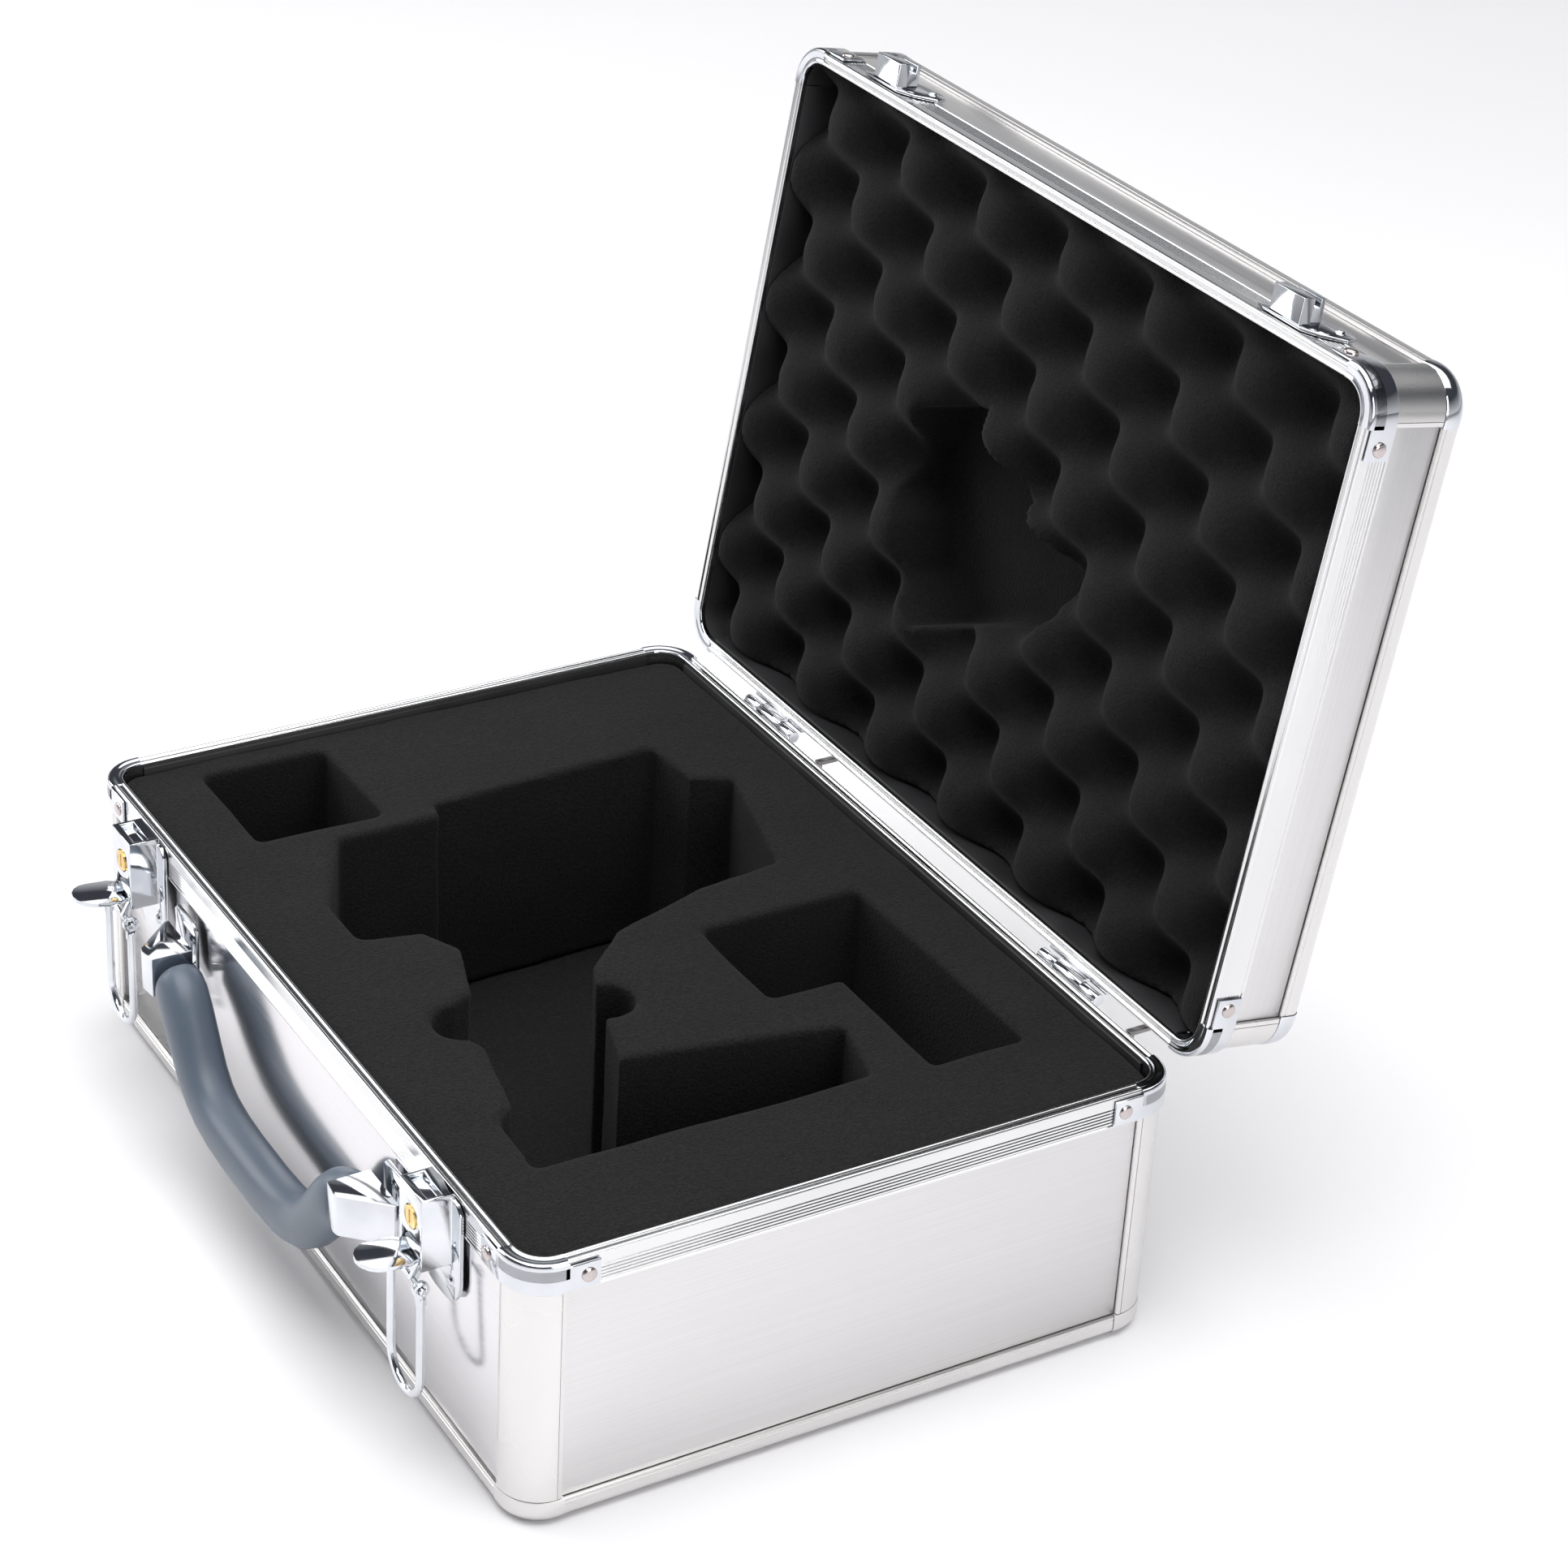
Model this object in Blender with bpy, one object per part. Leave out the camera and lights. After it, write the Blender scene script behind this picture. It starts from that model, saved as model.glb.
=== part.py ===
"""Aluminium-framed instrument case with a hinged lid, two key latches and a carrying handle.

The model is in metres with +Z up. X runs along the hinge line, the latches and the handle are
on the -Y face, and the origin is the middle of the base's underside. The lid stands open on its
stops, leaning back past vertical.
"""
import math

import bmesh
import bpy
from mathutils import Matrix, Vector

MM = 0.001

# --- driving dimensions -------------------------------------------------------------------
WIDTH = 340.0 * MM
DEPTH = 238.5 * MM
BASE_HEIGHT = 99.5 * MM
LID_HEIGHT = 39.5 * MM
RIM_GAP = 0.4 * MM              # between the two rims when the case is shut
LID_ANGLE = math.radians(99.0)  # how far the lid stands open
GAP = 0.3 * MM                  # play between neighbouring pieces

CORNER_RADIUS = 14.0 * MM
POST_WIDTH = 15.4 * MM
POST_THICKNESS = 4.3 * MM
PANEL_INSET = 1.3 * MM
PANEL_THICKNESS = 3.0 * MM
EDGE_HEIGHT = 8.7 * MM
EDGE_THICKNESS = 5.0 * MM
EDGE_ROUNDING = 4.0 * MM
END_PANEL_THICKNESS = 4.0 * MM

RIM_BAND = 12.0 * MM
RIM_BAND_THICKNESS = 1.0 * MM
RIM_WIDTH = 4.6 * MM
RIM_FLANGE = 2.2 * MM
RIM_GROOVE = 0.5 * MM
CLIP_LENGTH = 15.3 * MM
CLIP_TAB_END = 25.8 * MM
CLIP_TAB_BOTTOM = 11.0 * MM
CLIP_TAB_TOP = 1.4 * MM
CLIP_THICKNESS = 0.8 * MM
RIVET_POSITION = 21.8 * MM
RIVET_DROP = 6.3 * MM
RIVET_RADIUS = 2.6 * MM
RIVET_HEIGHT = 1.1 * MM

PAD_TOP = 13.7 * MM
FOAM_DROP = 4.0 * MM            # foam surface below the base rim
LID_FOAM_DROP = 3.5 * MM

HINGE_OFFSET_Y = 3.3 * MM       # hinge axis behind the back face
HINGE_OFFSET_Z = 1.4 * MM       # hinge axis below the base rim
HINGE_X = 101.0 * MM
HINGE_LENGTH = 34.0 * MM
HINGE_MIDDLE = 15.0 * MM
KNUCKLE_RADIUS = 2.2 * MM
LEAF_THICKNESS = 1.2 * MM
LEAF_REACH = 22.0 * MM
STOP_OFFSET = 38.5 * MM         # stop bar beside its hinge
STOP_WIDTH = 3.0 * MM
STOP_THICKNESS = 1.4 * MM
STOP_RISE = 1.45 * MM           # top of the bar above the hinge axis
STOP_REACH = 10.0 * MM          # end of the bar behind the hinge axis

LATCH_X = 118.0 * MM
LATCH_PLATE_WIDTH = 27.0 * MM
LATCH_PLATE_DROP = 40.0 * MM
LATCH_PLATE_THICKNESS = 1.5 * MM
LOCK_BOX_WIDTH = 16.0 * MM
LOCK_BOX_REACH = 12.0 * MM
LOCK_BOX_TOP = 1.5 * MM         # above the base rim
LOCK_BOX_BOTTOM = 25.0 * MM     # below the base rim
KEY_DROP = 8.8 * MM
KEY_RADIUS = 3.9 * MM
LEVER_REACH = 9.5 * MM
LEVER_DROP = 21.5 * MM
PADDLE_TIP = 30.5 * MM
PADDLE_WIDTH = 15.0 * MM
BAIL_REACH = 13.5 * MM
BAIL_DROP = 28.8 * MM
BAIL_LENGTH = 45.0 * MM
BAIL_WIRE = 1.5 * MM
BAIL_HALF_WIDTH = 10.6 * MM
BAIL_PIN_RADIUS = 1.1 * MM

HANDLE_REACH = 8.0 * MM
HANDLE_DROP = 27.0 * MM
BRACKET_INNER = 79.0 * MM
BRACKET_OUTER = 94.0 * MM
BRACKET_CHEEK = 1.8 * MM
GRIP_END = 72.0 * MM

FRONT = -DEPTH / 2
BACK = DEPTH / 2
# turns a plate drawn as (y, z) into one that is thick along X
ACROSS = Matrix(((0, 0, 1, 0), (1, 0, 0, 0), (0, 1, 0, 0), (0, 0, 0, 1)))
AXIS = Vector((0.0, BACK + HINGE_OFFSET_Y, BASE_HEIGHT - HINGE_OFFSET_Z))


# --- materials ------------------------------------------------------------------------------
def material(name, color, roughness, metallic):
    made = bpy.data.materials.new(name)
    made.use_nodes = True
    shader = made.node_tree.nodes["Principled BSDF"]
    shader.inputs["Base Color"].default_value = (*color, 1.0)
    shader.inputs["Roughness"].default_value = roughness
    shader.inputs["Metallic"].default_value = metallic
    return made


# --- mesh helpers -----------------------------------------------------------------------------
def arc(centre, radius, start, stop, steps):
    """Points on an arc from start to stop, in degrees."""
    angles = [math.radians(start + (stop - start) * i / steps) for i in range(steps + 1)]
    return [(centre[0] + radius * math.cos(a), centre[1] + radius * math.sin(a)) for a in angles]


def rounded_rectangle(half_x, half_y, radius, steps=5):
    points = []
    for quarter, (sx, sy) in enumerate(((1, 1), (-1, 1), (-1, -1), (1, -1))):
        centre = (sx * (half_x - radius), sy * (half_y - radius))
        points += arc(centre, radius, 90 * quarter, 90 * quarter + 90, steps)
    return points


def evaluated_mesh(source):
    """The mesh of an object with its modifiers, after which the object is removed."""
    bpy.context.view_layer.update()
    graph = bpy.context.evaluated_depsgraph_get()
    mesh = bpy.data.meshes.new_from_object(source.evaluated_get(graph))
    bpy.data.objects.remove(source)
    return mesh


def welded(mesh):
    cage = bmesh.new()
    cage.from_mesh(mesh)
    bmesh.ops.remove_doubles(cage, verts=cage.verts, dist=1e-6)
    bmesh.ops.recalc_face_normals(cage, faces=cage.faces)
    cage.to_mesh(mesh)
    cage.free()
    return mesh


def plate(outlines, low, high):
    """A flat outline in XY, with any further outlines as holes, from z = low to z = high."""
    flat = bpy.data.curves.new("outline", "CURVE")
    flat.dimensions = "2D"
    flat.fill_mode = "BOTH"
    flat.extrude = (high - low) / 2
    for outline in outlines:
        spline = flat.splines.new("POLY")
        spline.points.add(len(outline) - 1)
        for point, (x, y) in zip(spline.points, outline):
            point.co = (x, y, 0.0, 1.0)
        spline.use_cyclic_u = True
    holder = bpy.data.objects.new("outline", flat)
    bpy.context.scene.collection.objects.link(holder)
    mesh = welded(evaluated_mesh(holder))
    mesh.transform(Matrix.Translation((0, 0, (low + high) / 2)))
    return mesh


def block(low, high):
    """A box between two corners."""
    cage = bmesh.new()
    bmesh.ops.create_cube(cage, size=1.0)
    size = Vector(high) - Vector(low)
    middle = (Vector(high) + Vector(low)) / 2
    bmesh.ops.transform(cage, verts=cage.verts,
                        matrix=Matrix.Translation(middle) @ Matrix.Diagonal((*size, 1.0)))
    mesh = bpy.data.meshes.new("block")
    cage.to_mesh(mesh)
    cage.free()
    return mesh


def rod(start, end, radius, end_radius=None, sides=16):
    """A cylinder, or a cone where end_radius differs, between two points."""
    cage = bmesh.new()
    line = Vector(end) - Vector(start)
    bmesh.ops.create_cone(cage, cap_ends=True, segments=sides, radius1=radius,
                          radius2=radius if end_radius is None else end_radius, depth=line.length)
    turn = line.to_track_quat("Z", "Y").to_matrix().to_4x4()
    bmesh.ops.transform(cage, verts=cage.verts,
                        matrix=Matrix.Translation((Vector(start) + Vector(end)) / 2) @ turn)
    mesh = bpy.data.meshes.new("rod")
    cage.to_mesh(mesh)
    cage.free()
    return mesh


def tube(points, radii, sides_resolution=2, closed=False):
    """A round wire or grip through the points, with filled ends."""
    curve = bpy.data.curves.new("wire", "CURVE")
    curve.dimensions = "3D"
    curve.bevel_depth = 1.0
    curve.bevel_resolution = sides_resolution
    curve.use_fill_caps = not closed
    spline = curve.splines.new("POLY")
    spline.points.add(len(points) - 1)
    for point, place, radius in zip(spline.points, points, radii):
        point.co = (*place, 1.0)
        point.radius = radius
    spline.use_cyclic_u = closed
    holder = bpy.data.objects.new("wire", curve)
    bpy.context.scene.collection.objects.link(holder)
    return welded(evaluated_mesh(holder))


def boolean(first, second, operation):
    """The union or difference of two closed meshes."""
    body = bpy.data.objects.new("body", first)
    tool = bpy.data.objects.new("tool", second)
    for item in (body, tool):
        bpy.context.scene.collection.objects.link(item)
    step = body.modifiers.new("step", "BOOLEAN")
    step.operation = operation
    step.solver = "EXACT"
    step.object = tool
    mesh = evaluated_mesh(body)
    bpy.data.objects.remove(tool)
    return welded(mesh)


def joined(meshes):
    result = meshes[0]
    for mesh in meshes[1:]:
        result = boolean(result, mesh, "UNION")
    return result


def cut(mesh, tools):
    for tool in tools:
        mesh = boolean(mesh, tool, "DIFFERENCE")
    return mesh


def moved(mesh, matrix):
    mesh.transform(matrix)
    return mesh


def from_side(mesh):
    """Turns a plate drawn as (x, z) into one that stands in the XZ plane, thick towards -Y."""
    return moved(mesh, Matrix.Rotation(math.radians(90), 4, "X"))


def bevelled(mesh, chosen, width, segments):
    """Rounds the edges whose two end points both satisfy chosen."""
    cage = bmesh.new()
    cage.from_mesh(mesh)
    edges = [e for e in cage.edges if all(chosen(v.co) for v in e.verts)]
    bmesh.ops.bevel(cage, geom=edges, offset=width, segments=segments, profile=0.5,
                    affect="EDGES", clamp_overlap=True)
    cage.to_mesh(mesh)
    cage.free()
    return mesh


# --- objects ----------------------------------------------------------------------------------
def add(name, mesh, finish, parent=None, basis=Matrix.Identity(4)):
    """One named sub-part, placed by its own matrix under its parent empty."""
    made = bpy.data.objects.new(name, mesh)
    mesh.name = name
    mesh.materials.clear()
    mesh.materials.append(finish)
    mesh.shade_smooth()
    mesh.set_sharp_from_angle(angle=math.radians(35))
    CASE.objects.link(made)
    if parent:
        made.parent = parent
    made.matrix_basis = basis
    return made


def pivot(name, place, turn=Matrix.Identity(4), parent=None):
    """An empty on a joint's axis."""
    made = bpy.data.objects.new(name, None)
    CASE.objects.link(made)
    if parent:
        made.parent = parent
    made.matrix_basis = Matrix.Translation(place) @ turn
    return made


def side_frame(index):
    """Puts a piece drawn for the -Y side, with y = 0 on the outer face, on side 0 to 3."""
    distance = (DEPTH if index % 2 == 0 else WIDTH) / 2
    return Matrix.Rotation(math.radians(90 * index), 4, "Z") @ Matrix.Translation((0, -distance, 0))


def corner_frame(index):
    """Puts a piece drawn for a corner at the origin, inside at +X +Y, on corner 0 to 3."""
    sx, sy = ((-1, -1), (1, -1), (1, 1), (-1, 1))[index]
    return (Matrix.Translation((sx * WIDTH / 2, sy * DEPTH / 2, 0))
            @ Matrix.Rotation(math.radians(90 * index), 4, "Z"))


def corner_band(outer, inner, length):
    """An outline that follows a rounded corner between two offsets from the outer faces."""
    centre = (CORNER_RADIUS, CORNER_RADIUS)
    return ([(length, outer)] + arc(centre, CORNER_RADIUS - outer, 270, 180, 6) + [(outer, length)]
            + [(inner, length)] + arc(centre, CORNER_RADIUS - inner, 180, 270, 6)
            + [(length, inner)])


# --- one half of the shell ---------------------------------------------------------------------
def edge_frame():
    """The extruded frame round the closed end, with its rounded ball corners."""
    outer = rounded_rectangle(WIDTH / 2, DEPTH / 2, CORNER_RADIUS)
    inner = rounded_rectangle(WIDTH / 2 - EDGE_THICKNESS, DEPTH / 2 - EDGE_THICKNESS,
                              CORNER_RADIUS - EDGE_THICKNESS)
    ring = plate([outer, inner], 0.0, EDGE_HEIGHT)
    inside = Vector((WIDTH / 2 - EDGE_THICKNESS, DEPTH / 2 - EDGE_THICKNESS))
    radius = CORNER_RADIUS - EDGE_THICKNESS

    def on_outer_foot(point):
        away = Vector((max(abs(point.x) - inside.x + radius, 0), max(abs(point.y) - inside.y + radius, 0)))
        return point.z < 1e-6 and away.length > radius + EDGE_THICKNESS / 2

    return bevelled(ring, on_outer_foot, EDGE_ROUNDING, 3)


def end_panel():
    inset = EDGE_THICKNESS + GAP
    outline = rounded_rectangle(WIDTH / 2 - inset, DEPTH / 2 - inset, CORNER_RADIUS - inset)
    return plate([outline], 0.0, END_PANEL_THICKNESS)


def side_panel(length, height):
    half = length / 2 - POST_WIDTH - GAP
    return block((-half, PANEL_INSET, EDGE_HEIGHT + GAP),
                 (half, PANEL_INSET + PANEL_THICKNESS, height - RIM_FLANGE - GAP))


def corner_post(height):
    outline = corner_band(0.0, POST_THICKNESS, POST_WIDTH)
    return plate([outline], EDGE_HEIGHT + GAP, height - RIM_FLANGE - GAP)


def rim_rail(length, height):
    """A rail with a side band and a grooved top, which caps the edge of one side panel."""
    lip = 0.6 * MM
    bead = 1.6 * MM
    profile = [(0, -RIM_BAND), (0, -lip), (lip, 0), (bead, 0), (bead + 0.3 * MM, -RIM_GROOVE),
               (RIM_WIDTH - bead, -RIM_GROOVE), (RIM_WIDTH - bead + 0.3 * MM, 0),
               (RIM_WIDTH - 0.4 * MM, 0), (RIM_WIDTH, -0.4 * MM), (RIM_WIDTH, -RIM_FLANGE),
               (RIM_BAND_THICKNESS, -RIM_FLANGE), (RIM_BAND_THICKNESS, -RIM_BAND)]
    half = length / 2 - CLIP_LENGTH - GAP
    return moved(plate([profile], -half, half), Matrix.Translation((0, 0, height)) @ ACROSS)


def rim_clip(height):
    """A pressed corner clip with a flange on the rim and two riveted tabs."""
    outside = -GAP - CLIP_THICKNESS
    band = plate([corner_band(outside, -GAP, CLIP_TAB_END)],
                 height - CLIP_TAB_BOTTOM, height - CLIP_TAB_TOP)
    flange = plate([corner_band(outside, RIM_WIDTH, CLIP_LENGTH)], height - RIM_FLANGE, height)
    level = height - RIVET_DROP
    root = outside + CLIP_THICKNESS / 2
    head = outside - RIVET_HEIGHT
    rivets = [rod((RIVET_POSITION, root, level), (RIVET_POSITION, head, level),
                  RIVET_RADIUS, RIVET_RADIUS * 0.6, 12),
              rod((root, RIVET_POSITION, level), (head, RIVET_POSITION, level),
                  RIVET_RADIUS, RIVET_RADIUS * 0.6, 12)]
    return joined([band, flange] + rivets)


def shell_half(prefix, height, sides, corners, parent, basis):
    """Panels, posts, rim rails and clips of the base or the lid, in its own frame."""
    end = "bottom" if prefix == "base" else "top"
    add(f"{prefix}_edge_frame", edge_frame(), SATIN, parent, basis)
    add(f"{prefix}_{end}_panel", end_panel(), BRUSHED, parent, basis)
    for index, side in enumerate(sides):
        length = WIDTH if index % 2 == 0 else DEPTH
        place = side_frame(index)
        add(f"{prefix}_{side}_panel", moved(side_panel(length, height), place), BRUSHED,
            parent, basis)
        add(f"{prefix}_rim_{side}", moved(rim_rail(length, height), place), SATIN, parent, basis)
    for index, corner in enumerate(corners):
        place = corner_frame(index)
        add(f"{prefix}_post_{corner}", moved(corner_post(height), place), SATIN, parent, basis)
        add(f"{prefix}_rim_clip_{corner}", moved(rim_clip(height), place), CHROME, parent, basis)


# --- foam ---------------------------------------------------------------------------------------
def millimetres(points):
    return [(x * MM, y * MM) for x, y in points]


def instrument_pocket():
    """The large pocket: a stepped outline with a half-round finger notch on each long side."""
    upper_notch = arc((41, -26), 13, 155, -25, 6)
    lower_notch = arc((32, -70), 13, 165, 340, 6)
    return millimetres([(-92, -60), (-92, -20), (-101, -19), (-103, 73), (-78, 75), (-71, 89),
                        (-12, 74), (-8, 39), (5, 0), (18, -17)] + upper_notch
                       + [(75, -36), (90, 40), (119, 33), (118, -89), (90, -87), (84, -80)]
                       + [(50, -72)] + lower_notch[::-1]
                       + [(14, -60), (-8, -53), (-23, -60), (-29, -81), (-51, -82)])


def accessory_pocket():
    return millimetres([(17, 26), (17, 89), (123, 90), (123, 54), (65, 54), (65, 26)])


def small_pocket():
    return millimetres([(-154, -86), (-154, -38), (-102, -38), (-102, -86)])


def lid_pocket():
    """The hollow in the lid's foam, drawn as seen with the case shut and from above."""
    return millimetres([(-60, -18), (-24, -32), (-10, -24), (12, -8), (34, 6), (37, 20), (28, 32),
                        (-4, 42), (-36, 54), (-53, 42), (-60, 24), (-68, 15)])


def foams(lid_parent, lid_basis):
    inset = EDGE_THICKNESS + GAP
    half = (WIDTH / 2 - inset, DEPTH / 2 - inset)
    outline = rounded_rectangle(*half, CORNER_RADIUS - inset, 4)
    add("base_foam_pad", plate([outline], END_PANEL_THICKNESS + GAP, PAD_TOP), FOAM)
    pockets = [instrument_pocket(), accessory_pocket(), small_pocket()]
    add("base_foam_block", plate([outline] + pockets, PAD_TOP + GAP, BASE_HEIGHT - FOAM_DROP), FOAM)
    hollow = [(x, -y) for x, y in lid_pocket()]
    lid_foam = plate([outline], END_PANEL_THICKNESS + GAP, LID_HEIGHT - LID_FOAM_DROP)
    tool = plate([hollow], 2 * END_PANEL_THICKNESS, LID_HEIGHT)
    add("lid_foam", cut(lid_foam, [tool]), FOAM, lid_parent, lid_basis)


# --- hinges ---------------------------------------------------------------------------------------
def hinge_leaf(centre, upward):
    """A leaf on the back face with its own knuckles; upward is 1 for the lid and -1 for the base."""
    inner = BACK + GAP
    far = AXIS.z + upward * LEAF_REACH
    near = AXIS.z + upward * (KNUCKLE_RADIUS + 0.4 * MM)
    low, high = sorted((near, far))
    half = HINGE_LENGTH / 2
    leaf = block((centre - half, inner, low), (centre + half, inner + LEAF_THICKNESS, high))
    middle = HINGE_MIDDLE / 2
    spans = [(-middle, middle)] if upward > 0 else [(-half, -middle - GAP), (middle + GAP, half)]
    pieces = [leaf]
    trim = 0.2 * MM
    for start, stop in spans:
        tongue = sorted((near + upward * MM, AXIS.z - upward * 0.4 * MM))
        pieces.append(block((centre + start + trim, inner + trim, tongue[0]),
                            (centre + stop - trim, inner + LEAF_THICKNESS + trim, tongue[1])))
        pieces.append(rod((centre + start, AXIS.y, AXIS.z), (centre + stop, AXIS.y, AXIS.z),
                          KNUCKLE_RADIUS))
    return joined(pieces)


def stop_bar(centre):
    """A bracket on the base's back face, on whose bar the lid's back face rests when it is open."""
    inner = BACK + GAP
    top = AXIS.z + STOP_RISE
    half = STOP_WIDTH / 2
    foot = block((centre - half - 2.0 * MM, inner, AXIS.z - 14.0 * MM),
                 (centre + half + 2.0 * MM, inner + STOP_THICKNESS, AXIS.z - 2.0 * MM))
    neck = block((centre - half, inner + 0.2 * MM, AXIS.z - 3.0 * MM),
                 (centre + half, inner + STOP_THICKNESS + 0.2 * MM, top - 0.4 * MM))
    bar = block((centre - half + 0.2 * MM, inner, top - STOP_THICKNESS),
                (centre + half - 0.2 * MM, AXIS.y + STOP_REACH, top))
    return joined([foot, neck, bar])


def hinges(lid_parent):
    shut = Matrix.Translation(-AXIS)
    for side, sign in (("left", -1), ("right", 1)):
        centre = sign * HINGE_X
        add(f"hinge_base_leaf_{side}", hinge_leaf(centre, -1), CHROME)
        add(f"hinge_lid_leaf_{side}", hinge_leaf(centre, 1), CHROME, lid_parent, shut)
        add(f"stop_bar_{side}", stop_bar(centre + STOP_OFFSET), STEEL)


# --- latches ----------------------------------------------------------------------------------------
def latch_plate():
    """The riveted plate and the lock box on it, in a frame on the front face at rim height."""
    half = LATCH_PLATE_WIDTH / 2
    corner = 10.0 * MM
    top = 3.0 * MM
    drop = LATCH_PLATE_DROP
    outline = ([(half, -1.0 * MM - top), (half - top, -1.0 * MM), (top - half, -1.0 * MM),
                (-half, -1.0 * MM - top)]
               + arc((corner - half, corner - drop), corner, 180, 270, 4)
               + arc((half - corner, corner - drop), corner, 270, 360, 4))
    sheet = from_side(plate([outline], GAP, GAP + LATCH_PLATE_THICKNESS))
    side = LOCK_BOX_WIDTH / 2
    box = block((-side, -LOCK_BOX_REACH, -LOCK_BOX_BOTTOM), (side, -GAP - 0.5 * MM, LOCK_BOX_TOP))
    cheek = 1.3 * MM
    inner = side - cheek
    clear = 2.0 * MM
    lever_bay = block((-inner, -LOCK_BOX_REACH - clear, -LOCK_BOX_BOTTOM - clear),
                      (inner, -4.0 * MM, -15.5 * MM))
    slot = block((-inner, -9.5 * MM, -1.5 * MM), (inner, -4.5 * MM, LOCK_BOX_TOP + clear))
    key_bore = rod((0, -LOCK_BOX_REACH - clear, -KEY_DROP), (0, -4.0 * MM, -KEY_DROP),
                   KEY_RADIUS + GAP)
    rivets = [rod((x, -GAP - 1.0 * MM, -31.0 * MM), (x, -GAP - 2.6 * MM, -31.0 * MM),
                  2.2 * MM, 1.4 * MM, 12) for x in (-side, side)]
    return joined([sheet, cut(box, [lever_bay, slot, key_bore])] + rivets)


def key_cylinder():
    """The lock's plug with its key slot, in a frame on its own axis."""
    front = -LOCK_BOX_REACH - 0.3 * MM
    plug = rod((0, -4.4 * MM, 0), (0, front, 0), KEY_RADIUS)
    slot = block((-0.5 * MM, front - 1.0 * MM, -2.6 * MM), (0.5 * MM, front + 3.0 * MM, 2.6 * MM))
    return cut(plug, [slot])


def latch_lever():
    """The thumb paddle, its root barrel and the ears with the bail's pin, about the lever's axis."""
    inner = LOCK_BOX_WIDTH / 2 - 1.3 * MM - GAP
    thick = 0.7 * MM
    half = PADDLE_WIDTH / 2
    reach = PADDLE_TIP - LEVER_REACH
    shoulder = LOCK_BOX_REACH - LEVER_REACH + 1.0 * MM
    tip = arc((0, -(reach - half)), half, 180, 360, 8)
    outline = [(inner, 0), (-inner, 0), (-inner, -shoulder), (-half, -shoulder - 2.0 * MM)] + tip
    outline += [(half, -shoulder - 2.0 * MM), (inner, -shoulder)]
    paddle = moved(plate([outline], -thick, thick), Matrix.Rotation(math.radians(-5), 4, "X"))
    barrel = rod((-inner, 0, 0), (inner, 0, 0), 2.2 * MM)
    out = LEVER_REACH - BAIL_REACH
    down = LEVER_DROP - BAIL_DROP
    ear = 1.6 * MM
    ears = []
    for x in (-inner + ear, inner - ear):
        web = block((x - ear / 2, -1.4 * MM, 0), (x + ear / 2, 1.4 * MM, math.hypot(out, down)))
        ears.append(moved(web, Matrix.Rotation(math.atan2(-out, down), 4, "X")))
    pin_half = BAIL_HALF_WIDTH + 1.8 * MM
    pin = rod((-pin_half, out, down), (pin_half, out, down), BAIL_PIN_RADIUS, sides=12)
    return joined([barrel, paddle] + ears + [pin])


def latch_bail():
    """The wire loop with its two flattened eyes, about the bail pin's axis."""
    half = BAIL_HALF_WIDTH
    straight = BAIL_LENGTH - half
    start = -3.5 * MM
    bend = [(x, 0.0, z - straight) for x, z in arc((0, 0), half, 180, 360, 12)]
    path = [(-half, 0, start), (-half, 0, -straight / 2)] + bend
    path += [(half, 0, -straight / 2), (half, 0, start)]
    loop = tube(path, [BAIL_WIRE] * len(path))
    pieces = [loop]
    for x in (-half, half):
        pieces.append(rod((x - 0.9 * MM, 0, 0), (x + 0.9 * MM, 0, 0), 2.9 * MM, sides=14))
        pieces.append(block((x - 0.9 * MM, -1.6 * MM, -6.0 * MM), (x + 0.9 * MM, 1.6 * MM, -1.0 * MM)))
    hole = rod((-2 * half, 0, 0), (2 * half, 0, 0), BAIL_PIN_RADIUS + 0.4 * MM, sides=12)
    return cut(joined(pieces), [hole])


def latch_catch():
    """The hooked block on its leaf-shaped plate, in a frame on the lid's front face at rim height."""
    outline = millimetres([(-13, 3), (-9, 1.8), (10, 1.8), (16, 5.5), (21.5, 12), (20, 16.5),
                           (15, 18.5), (6, 17), (-8, 14)])
    sheet = from_side(plate([outline], GAP, GAP + 1.0 * MM))
    side = 7.5 * MM
    hook = block((-side, -9.8 * MM, 3.0 * MM), (side, -GAP - 0.4 * MM, 7.6 * MM))
    saddle = block((-side + 1.5 * MM, -6.0 * MM, 7.0 * MM), (side - 1.5 * MM, -GAP - 0.4 * MM, 12.0 * MM))
    lip = block((-side + 1.5 * MM, -9.0 * MM, 11.4 * MM), (side - 1.5 * MM, -GAP - 0.4 * MM, 13.2 * MM))
    level = 14.0 * MM
    rivet = rod((15.0 * MM, -GAP - 0.5 * MM, level), (15.0 * MM, -GAP - 2.0 * MM, level),
                2.2 * MM, 1.4 * MM, 12)
    return joined([sheet, hook, saddle, lip, rivet])


def latches(lid_parent):
    for side, sign in (("left", -1), ("right", 1)):
        x = sign * LATCH_X
        face = Vector((x, FRONT, BASE_HEIGHT))
        add(f"latch_plate_{side}", latch_plate(), CHROME, None, Matrix.Translation(face))
        add(f"key_cylinder_{side}", key_cylinder(), BRASS, None,
            Matrix.Translation(face + Vector((0, 0, -KEY_DROP))))
        lever = add(f"latch_lever_{side}", latch_lever(), CHROME, None,
                    Matrix.Translation(face + Vector((0, -LEVER_REACH, -LEVER_DROP))))
        to_pin = Vector((0, LEVER_REACH - BAIL_REACH, LEVER_DROP - BAIL_DROP))
        add(f"latch_bail_{side}", latch_bail(), CHROME, lever, Matrix.Translation(to_pin))
        shut = Matrix.Translation(Vector((x, FRONT, BASE_HEIGHT + RIM_GAP)) - AXIS)
        add(f"latch_catch_{side}", latch_catch(), CHROME, lid_parent, shut)


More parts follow.
